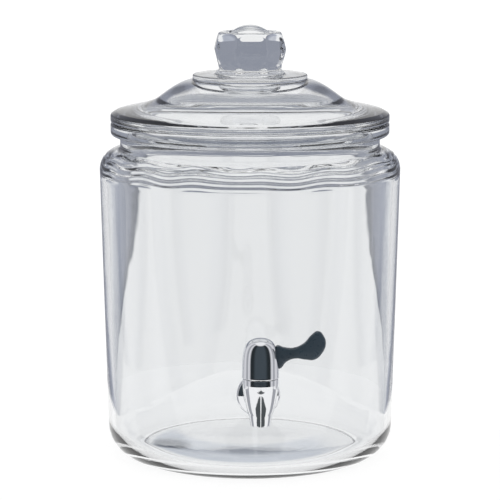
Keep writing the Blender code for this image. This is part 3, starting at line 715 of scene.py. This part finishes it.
def make_lever(slate):
    """The lever: a fishtail plate with rounded edges, rooted in the cap."""
    outline = bpy.data.curves.new("lever_outline", "CURVE")
    outline.dimensions = "2D"
    outline.fill_mode = "BOTH"
    outline.extrude = LEVER_THICKNESS / 2
    outline.resolution_u = 8
    spline = outline.splines.new("BEZIER")
    spline.bezier_points.add(len(LEVER_OUTLINE) - 1)
    for knot, (distance, height) in zip(spline.bezier_points, LEVER_OUTLINE):
        knot.co = (distance, height, 0.0)
        knot.handle_left_type = "AUTO"
        knot.handle_right_type = "AUTO"
    spline.use_cyclic_u = True
    flat = bpy.data.objects.new("lever_outline", outline)
    bpy.context.scene.collection.objects.link(flat)
    bpy.context.view_layer.update()
    graph = bpy.context.evaluated_depsgraph_get()
    mesh = bpy.data.meshes.new_from_object(flat.evaluated_get(graph))
    bpy.data.objects.remove(flat)
    shape = bmesh.new()
    shape.from_mesh(mesh)
    bmesh.ops.remove_doubles(shape, verts=shape.verts, dist=0.00001)
    bmesh.ops.dissolve_limit(shape, angle_limit=radians(1), verts=shape.verts, edges=shape.edges)
    shape.to_mesh(mesh)
    shape.free()
    lever = add_object("lever_fine", mesh, slate)
    bevel = lever.modifiers.new("Round edges", "BEVEL")
    bevel.width = LEVER_ROUND
    bevel.segments = 6
    bevel.limit_method = "ANGLE"
    bevel.angle_limit = radians(60)
    settle(lever)
    lever.data.shade_smooth()
    lever.location.y = BARREL_Y
    lever.rotation_euler.x = pi / 2
    hub = turned("lever_hub_fine", filleted([
        (HUB_BORE_R, HUB_TOP_Z),
        (HUB_R, HUB_TOP_Z),
        (HUB_R, HUB_FLANGE_TOP_Z),
        (HUB_FLANGE_R, HUB_FLANGE_TOP_Z),
        (HUB_FLANGE_R, HUB_LOW_Z),
        (HUB_BORE_R, HUB_LOW_Z),
    ], 0.0005, closed=True), slate, closed=True)
    hub.location.y = BARREL_Y
    for piece in (lever, hub):
        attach(piece, "valve")
        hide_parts("lever")


def make_wall_fittings(silicone, steel):
    """The gaskets, washer and nut that clamp the tap to the glass."""
    wall_y = outer_wall_r(SHANK_Z)
    bore = SHANK_R + CLEARANCE
    seal_r = OUTER_SEAL_HIGH.x
    outer = [(bore, -OUTER_SEAL_LOW.y), (seal_r, -OUTER_SEAL_LOW.y), (seal_r, wall_y + 0.0004),
             (bore, wall_y + 0.0004)]
    inner_front = wall_y - GLASS - 0.0008
    inner = [(bore, inner_front), (seal_r, inner_front), (seal_r, -INNER_SEAL_HIGH.y),
             (bore, -INNER_SEAL_HIGH.y)]
    washer_r = WASHER_HIGH.x
    washer = [(bore, -WASHER_LOW.y), (washer_r, -WASHER_LOW.y), (washer_r, -WASHER_HIGH.y),
              (bore, -WASHER_HIGH.y)]
    for name, profile, round_r, material, slot, node in (
            ("outer_gasket_fine", outer, 0.0008, silicone, "silicone", "outer_gasket"),
            ("inner_gasket_fine", inner, 0.0006, silicone, "silicone", "inner_gasket"),
            ("flat_washer_fine", washer, 0.0003, steel, "steel", "flat_washer")):
        piece = turned(name, filleted(profile, round_r, closed=True), material, closed=True)
        if material is silicone:
            bend_to_wall(piece, profile)
        along_shank(piece)
        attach(piece, "jar")
        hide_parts(node)
    make_nut(steel)


def bend_to_wall(piece, profile):
    """Curve a seal's glass side round the jar. Local Z runs out of the jar."""
    heights = [height for _, height in profile]
    middle = (min(heights) + max(heights)) / 2
    wall_side_is_high = min(heights) < outer_wall_r(SHANK_Z) - GLASS
    for vertex in piece.data.vertices:
        on_wall_side = (vertex.co.z > middle) == wall_side_is_high
        if on_wall_side:
            vertex.co.z -= vertex.co.x ** 2 / (2 * outer_wall_r(SHANK_Z))


def make_nut(steel):
    """The hexagonal lock nut, with turned-down corners on its outer face."""
    flats = NUT_HIGH.x
    corner_r = 2 * flats / sqrt(3)
    front = -NUT_LOW.y
    back = -NUT_HIGH.y
    nut = turned("lock_nut_fine", [
        (SHANK_R + CLEARANCE, front),
        (corner_r, front),
        (corner_r, back + 0.0016),
        (flats, back),
        (SHANK_R + 0.0008, back),
        (SHANK_R + CLEARANCE, back + 0.0005),
    ], steel, closed=True)
    hexagon = cylinder("hexagon", corner_r, back - 0.001, front + 0.001, 6)
    cut(nut, hexagon, "INTERSECT")
    nut.data.shade_smooth()
    nut.data.set_sharp_from_angle(angle=NUT_SHARP_ANGLE)
    along_shank(nut)
    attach(nut, "jar")
    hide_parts("lock_nut")


# ---------------------------------------------------------------- materials


def new_material(name):
    """A Principled material and its shader and node tree."""
    material = bpy.data.materials.new(name)
    material.use_nodes = True
    tree = material.node_tree
    return material, tree, tree.nodes["Principled BSDF"]


def add_noise(tree, scale, detail, stretch=(1.0, 1.0, 1.0)):
    """A noise texture in object space, with a mapping that can stretch it."""
    place = tree.nodes.new("ShaderNodeTexCoord")
    mapping = tree.nodes.new("ShaderNodeMapping")
    mapping.inputs["Scale"].default_value = stretch
    texture = tree.nodes.new("ShaderNodeTexNoise")
    texture.inputs["Scale"].default_value = scale
    texture.inputs["Detail"].default_value = detail
    tree.links.new(place.outputs["Object"], mapping.inputs["Vector"])
    tree.links.new(mapping.outputs["Vector"], texture.inputs["Vector"])
    return texture.outputs["Fac"]


def add_bump(tree, height, shader, strength, distance):
    """Link a height to the shader's normal through a bump."""
    bump = tree.nodes.new("ShaderNodeBump")
    bump.inputs["Strength"].default_value = strength
    bump.inputs["Distance"].default_value = distance
    tree.links.new(height, bump.inputs["Height"])
    tree.links.new(bump.outputs["Normal"], shader.inputs["Normal"])


def add_range(tree, value, low, high):
    """Map a 0 to 1 value to another range."""
    mapped = tree.nodes.new("ShaderNodeMapRange")
    mapped.inputs["To Min"].default_value = low
    mapped.inputs["To Max"].default_value = high
    tree.links.new(value, mapped.inputs["Value"])
    return mapped.outputs["Result"]


def mixed(tree, share, first, second):
    """Mix two colours or sockets by a value."""
    mix = tree.nodes.new("ShaderNodeMix")
    mix.data_type = "RGBA"
    for name, value in (("A", first), ("B", second)):
        if isinstance(value, tuple):
            mix.inputs[name].default_value = (*value, 1.0)
        else:
            tree.links.new(value, mix.inputs[name])
    tree.links.new(share, mix.inputs["Factor"])
    return mix.outputs["Result"]


def vary_color(tree, shader, value, dark, light):
    """Let the base colour follow a value."""
    tree.links.new(mixed(tree, value, dark, light), shader.inputs["Base Color"])


def vary_roughness(tree, shader, value, low, high):
    """Let the roughness follow a value."""
    tree.links.new(add_range(tree, value, low, high), shader.inputs["Roughness"])


def make_glass():
    """Clear pressed glass with a faint unevenness of its surface."""
    material, tree, shader = new_material("pressed_glass")
    shader.inputs["Base Color"].default_value = (0.900, 0.908, 0.914, 1.0)
    shader.inputs["Roughness"].default_value = 0.0
    shader.inputs["IOR"].default_value = 1.5
    shader.inputs["Transmission Weight"].default_value = 1.0
    swell = add_noise(tree, scale=70.0, detail=1.0)
    add_bump(tree, swell, shader, strength=0.06, distance=0.0005)
    return material


def make_chrome():
    """Bright chrome plating with faint wipe marks."""
    material, tree, shader = new_material("chrome_plating")
    shader.inputs["Base Color"].default_value = (0.82, 0.83, 0.85, 1.0)
    shader.inputs["Metallic"].default_value = 1.0
    marks = add_noise(tree, scale=90.0, detail=3.0, stretch=(1.0, 1.0, 0.3))
    vary_roughness(tree, shader, marks, low=0.03, high=0.10)
    swell = add_noise(tree, scale=160.0, detail=2.0)
    add_bump(tree, swell, shader, strength=0.05, distance=0.0004)
    return material


def make_slate():
    """Dark slate-blue moulded plastic, semi-gloss."""
    material, tree, shader = new_material("slate_plastic")
    tone = add_noise(tree, scale=60.0, detail=3.0)
    vary_color(tree, shader, tone, dark=(0.014, 0.024, 0.034), light=(0.032, 0.050, 0.068))
    wear = add_noise(tree, scale=400.0, detail=2.0)
    vary_roughness(tree, shader, wear, low=0.22, high=0.36)
    shader.inputs["Coat Weight"].default_value = 0.25
    shader.inputs["Coat Roughness"].default_value = 0.12
    grain = add_noise(tree, scale=900.0, detail=2.0)
    add_bump(tree, grain, shader, strength=0.08, distance=0.0002)
    return material


def make_silicone():
    """Matte translucent grey silicone."""
    material, tree, shader = new_material("silicone_seal")
    tone = add_noise(tree, scale=150.0, detail=3.0)
    vary_color(tree, shader, tone, dark=(0.50, 0.51, 0.52), light=(0.62, 0.63, 0.64))
    shader.inputs["Roughness"].default_value = 0.5
    shader.inputs["Subsurface Weight"].default_value = 0.2
    shader.inputs["Subsurface Radius"].default_value = (0.002, 0.002, 0.002)
    grain = add_noise(tree, scale=1200.0, detail=2.0)
    add_bump(tree, grain, shader, strength=0.15, distance=0.0002)
    return material


def make_steel():
    """Stainless steel with the fine rings of turning."""
    material, tree, shader = new_material("stainless_steel")
    tone = add_noise(tree, scale=200.0, detail=3.0, stretch=(1.0, 6.0, 1.0))
    vary_color(tree, shader, tone, dark=(0.52, 0.52, 0.53), light=(0.66, 0.66, 0.67))
    shader.inputs["Metallic"].default_value = 1.0
    vary_roughness(tree, shader, tone, low=0.20, high=0.38)
    add_bump(tree, tone, shader, strength=0.10, distance=0.0002)
    return material


def make_acetal():
    """Natural white valve plastic."""
    material, tree, shader = new_material("valve_acetal")
    tone = add_noise(tree, scale=120.0, detail=3.0)
    vary_color(tree, shader, tone, dark=(0.70, 0.70, 0.67), light=(0.80, 0.80, 0.78))
    vary_roughness(tree, shader, tone, low=0.35, high=0.50)
    grain = add_noise(tree, scale=800.0, detail=2.0)
    add_bump(tree, grain, shader, strength=0.10, distance=0.0002)
    return material


def dress_nodes(steel, acetal, silicone):
    """Give the small parts inside the tap their materials."""
    inside = {
        "valve_plug": acetal,
        "upper_o_ring": silicone,
        "lower_o_ring": silicone,
        "port_seal": silicone,
        "snap_ring": steel,
        "hub_screw": steel,
    }
    for name, material in inside.items():
        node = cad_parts[name]
        node.data.materials.clear()
        node.data.materials.append(material)
        node.data.shade_smooth()
        node.data.set_sharp_from_angle(angle=SHARP_ANGLE)


# ---------------------------------------------------------------- studio


def add_camera():
    """The camera, in front of the tap and a little to its left, looking slightly down."""
    lens = bpy.data.cameras.new("camera")
    lens.lens = CAMERA_LENS
    lens.clip_start = 0.05
    camera = bpy.data.objects.new("camera", lens)
    bpy.context.scene.collection.objects.link(camera)
    azimuth = radians(CAMERA_AZIMUTH)
    camera.location = (CAMERA_DISTANCE * sin(azimuth), -CAMERA_DISTANCE * cos(azimuth),
                       CAMERA_HEIGHT)
    sight = Vector((0.0, 0.0, AIM_HEIGHT)) - camera.location
    camera.rotation_euler = sight.to_track_quat("-Z", "Y").to_euler()
    bpy.context.scene.camera = camera


def add_floor():
    """A pale oval table top, and just below it a round apron centred on the tap."""
    shape = bmesh.new()
    bmesh.ops.create_circle(shape, cap_ends=True, segments=128, radius=1.0)
    depth = (TABLE_BACK - TABLE_FRONT) / 2
    bmesh.ops.scale(shape, vec=(TABLE_HALF_WIDTH, depth, 1.0), verts=shape.verts)
    bmesh.ops.translate(shape, vec=(0.0, (TABLE_BACK + TABLE_FRONT) / 2, 0.0), verts=shape.verts)
    apron = bmesh.ops.create_circle(shape, cap_ends=True, segments=128, radius=APRON_R)["verts"]
    bmesh.ops.translate(shape, vec=(0.0, BARREL_Y, -APRON_DROP), verts=apron)
    material, _, shader = new_material("floor_white")
    shader.inputs["Base Color"].default_value = (*FLOOR_GREY, 1.0)
    shader.inputs["Roughness"].default_value = 0.9
    shader.inputs["Specular IOR Level"].default_value = 0.0
    shader.inputs["Emission Color"].default_value = (1.0, 1.0, 1.0, 1.0)
    shader.inputs["Emission Strength"].default_value = FLOOR_GLOW
    floor = add_shape("floor", shape, material)


def glowing_material(name):
    """A material that only gives off light, its node tree and the socket for its colour."""
    material, tree, shader = new_material(name)
    shader.inputs["Base Color"].default_value = (0.0, 0.0, 0.0, 1.0)
    shader.inputs["Specular IOR Level"].default_value = 0.0
    shader.inputs["Emission Strength"].default_value = 1.0
    return material, tree, shader.inputs["Emission Color"]


def hide(obj):
    """Keep an object out of sight, out of the room's light and without a shadow."""
    obj.visible_camera = False
    obj.visible_diffuse = False
    obj.visible_shadow = False


def add_cards():
    """Dark cards on the table in front of the tap, seen only as reflections in the chrome."""
    for name, outline, sides, tone in (("card_arch", CARD_ARCH, (1, -1), CARD_DARK),
                                       ("card_diamond", CARD_DIAMOND, (1,), CARD_DARK),
                                       ("card_side", CARD_SIDE, (1, -1), CARD_GREY)):
        shape = bmesh.new()
        for side in sides:
            corners = [(distance * sin(radians(side * angle)),
                        BARREL_Y - distance * cos(radians(angle)), CARD_HEIGHT)
                       for distance, angle in outline]
            shape.faces.new([shape.verts.new(corner) for corner in corners])
        material, _, color = glowing_material(name)
        color.default_value = (*tone, 1.0)
        card = add_shape(name, shape, material)
        hide(card)
        card.visible_transmission = False


def add_shade():
    """Painted shade under the jar's base, a glowing blue-grey disc seen only through glass."""
    shape = bmesh.new()
    bmesh.ops.create_circle(shape, cap_ends=True, segments=96, radius=SHADE_R)
    bmesh.ops.translate(shape, vec=(0.0, 0.0, CARD_HEIGHT), verts=shape.verts)
    material, tree, color = glowing_material("shade_grey")
    tree.links.new(shade_pattern(tree), color)
    shade = add_shape("shade", shape, material)
    hide(shade)
    shade.visible_glossy = False


def shade_pattern(tree):
    """Painted shade: white, with a pale crescent in front and a darker patch at its left end."""
    streaks = add_noise(tree, scale=60.0, detail=2.0, stretch=(0.5, 2.2, 1.0))
    crescent = away_from(tree, *SHADE_CRESCENT)
    rim = away_from(tree, *SHADE_RIM)
    tail = away_from(tree, *SHADE_TAIL)
    share = math_node(tree, "SUBTRACT", crescent, math_node(tree, "MAXIMUM", rim, tail))
    share = math_node(tree, "MAXIMUM", share, 0.0)
    share = math_node(tree, "MULTIPLY", share, add_range(tree, streaks, *SHADE_STREAKS))
    near_patch = math_node(tree, "SUBTRACT", 1.0, away_from(tree, *SHADE_PATCH))
    patch = math_node(tree, "MULTIPLY", near_patch, math_node(tree, "SUBTRACT", 1.0, rim))
    pale = mixed(tree, share, SHADE_WHITE, SHADE_PALE_BLUE)
    return mixed(tree, patch, pale, SHADE_DARK_BLUE)


def away_from(tree, centre, low, high):
    """A socket that grows from 0 to 1 between two distances from a place on the table."""
    place = tree.nodes.new("ShaderNodeTexCoord")
    distance = tree.nodes.new("ShaderNodeVectorMath")
    distance.operation = "DISTANCE"
    distance.inputs[1].default_value = (*centre, CARD_HEIGHT)
    tree.links.new(place.outputs["Object"], distance.inputs[0])
    return smooth_between(tree, distance.outputs["Value"], low, high)


def math_node(tree, operation, first, second=None):
    """A math node on two values or sockets."""
    node = tree.nodes.new("ShaderNodeMath")
    node.operation = operation
    for index, value in enumerate((first, second)):
        if value is None:
            continue
        if isinstance(value, (int, float)):
            node.inputs[index].default_value = value
        else:
            tree.links.new(value, node.inputs[index])
    return node.outputs[0]


def smooth_between(tree, value, low, high):
    """A socket that steps smoothly from 0 at low to 1 at high."""
    step = tree.nodes.new("ShaderNodeMapRange")
    step.interpolation_type = "SMOOTHSTEP"
    step.inputs["From Min"].default_value = low
    step.inputs["From Max"].default_value = high
    tree.links.new(value, step.inputs["Value"])
    return step.outputs["Result"]


def add_ramp(tree, value, reach, stops):
    """Colours along a value from 0 to its reach, given as (place, colour) stops."""
    ramp = tree.nodes.new("ShaderNodeValToRGB")
    ramp.color_ramp.interpolation = "EASE"
    while len(ramp.color_ramp.elements) < len(stops):
        ramp.color_ramp.elements.new(1.0)
    for element, (place, color) in zip(ramp.color_ramp.elements, stops):
        element.position = place / reach
        element.color = (*color, 1.0)
    tree.links.new(math_node(tree, "DIVIDE", value, reach), ramp.inputs["Fac"])
    return ramp.outputs["Color"]


def add_world():
    """A white studio, with a backdrop seen through the glass and another one in the chrome."""
    world = bpy.data.worlds.new("studio")
    world.use_nodes = True
    bpy.context.scene.world = world
    tree = world.node_tree
    place = tree.nodes.new("ShaderNodeTexCoord")
    axes = tree.nodes.new("ShaderNodeSeparateXYZ")
    tree.links.new(place.outputs["Generated"], axes.inputs["Vector"])
    rise = axes.outputs["Z"]
    turn = math_node(tree, "ARCTAN2", axes.outputs["X"], axes.outputs["Y"])
    turn = math_node(tree, "MULTIPLY", turn, 180 / pi)
    turn = math_node(tree, "SUBTRACT", turn, -CAMERA_AZIMUTH)
    path = tree.nodes.new("ShaderNodeLightPath")
    mirrored = mirrored_studio(tree, turn, rise)
    color = mixed(tree, path.outputs["Is Glossy Ray"], WALL_LIGHT, mirrored)
    color = mixed(tree, path.outputs["Is Transmission Ray"], color, high_backdrop(tree, rise))
    tree.links.new(color, tree.nodes["Background"].inputs["Color"])


def high_backdrop(tree, rise):
    """What lies behind the glass above the screens: grey, and white overhead."""
    return mixed(tree, smooth_between(tree, rise, *BACKDROP_EDGE), BACKDROP_GREY, BACKDROP_WHITE)


def add_screens():
    """A ring of white screens with grey gaps, seen only through the glass."""
    shape = bmesh.new()
    bmesh.ops.create_cone(shape, cap_ends=False, segments=180, radius1=SCREEN_RADIUS,
                          radius2=SCREEN_RADIUS, depth=SCREEN_TOP_Z - SCREEN_LOW_Z)
    middle_z = (SCREEN_TOP_Z + SCREEN_LOW_Z) / 2
    bmesh.ops.translate(shape, vec=(0.0, 0.0, middle_z), verts=shape.verts)
    material, tree, color = glowing_material("screen_white")
    tree.links.new(screen_pattern(tree), color)
    screens = add_shape("screens", shape, material)
    hide(screens)
    screens.visible_glossy = False


def screen_pattern(tree):
    """White round the ring, with grey gaps on both sides of front, back, left and right."""
    place = tree.nodes.new("ShaderNodeTexCoord")
    axes = tree.nodes.new("ShaderNodeSeparateXYZ")
    tree.links.new(place.outputs["Object"], axes.inputs["Vector"])
    turn = math_node(tree, "ARCTAN2", axes.outputs["X"], axes.outputs["Y"])
    turn = math_node(tree, "MULTIPLY", turn, 180 / pi)
    turn = math_node(tree, "ADD", turn, CAMERA_AZIMUTH + SCREEN_SHIFT)
    middle = math_node(tree, "PINGPONG", turn, SCREEN_REACH)
    height = axes.outputs["Z"]
    drop = math_node(tree, "MAXIMUM", math_node(tree, "SUBTRACT", SCREEN_FLARE_Z, height), 0.0)
    flare = math_node(tree, "MULTIPLY", math_node(tree, "POWER", drop, 2.0), SCREEN_FLARE)
    middle = math_node(tree, "MAXIMUM", math_node(tree, "SUBTRACT", middle, flare), 0.0)
    return add_ramp(tree, middle, SCREEN_REACH, SCREEN_STOPS)


def mirrored_studio(tree, turn, rise):
    """What the chrome and the glass reflect: a dark front, lit sides and a greyer rear."""
    front = math_node(tree, "SUBTRACT", 180.0, math_node(tree, "ABSOLUTE", turn))
    strip = mixed(tree, smooth_between(tree, front, *STRIP_EDGE), STRIP_PALE, STRIP_DARK)
    low = mixed(tree, smooth_between(tree, rise, *LOW_EDGE), strip, LOW_BLACK)
    band = mixed(tree, smooth_between(tree, front, *BAND_FADE), BAND_MIDDLE, BAND_END)
    far = mixed(tree, smooth_between(tree, rise, *BAND_EDGE), low, band)
    sides = add_ramp(tree, front, SIDES_REACH, SIDES_STOPS)
    color = mixed(tree, smooth_between(tree, front, *SIDES_EDGE), far, sides)
    return mixed(tree, smooth_between(tree, rise, *CEILING_EDGE), color, CEILING_WHITE)


def main():
    """Build every visible piece, then the studio around them."""
    glass = make_glass()
    chrome = make_chrome()
    slate = make_slate()
    silicone = make_silicone()
    steel = make_steel()
    make_jar(glass)
    make_lid(glass)
    make_tap_body(chrome)
    make_cap(chrome)
    make_lever(slate)
    make_wall_fittings(silicone, steel)
    dress_nodes(steel, make_acetal(), silicone)
    add_floor()
    add_cards()
    add_shade()
    add_screens()
    add_world()
    add_camera()
    bpy.context.scene.view_settings.view_transform = "Standard"


main()
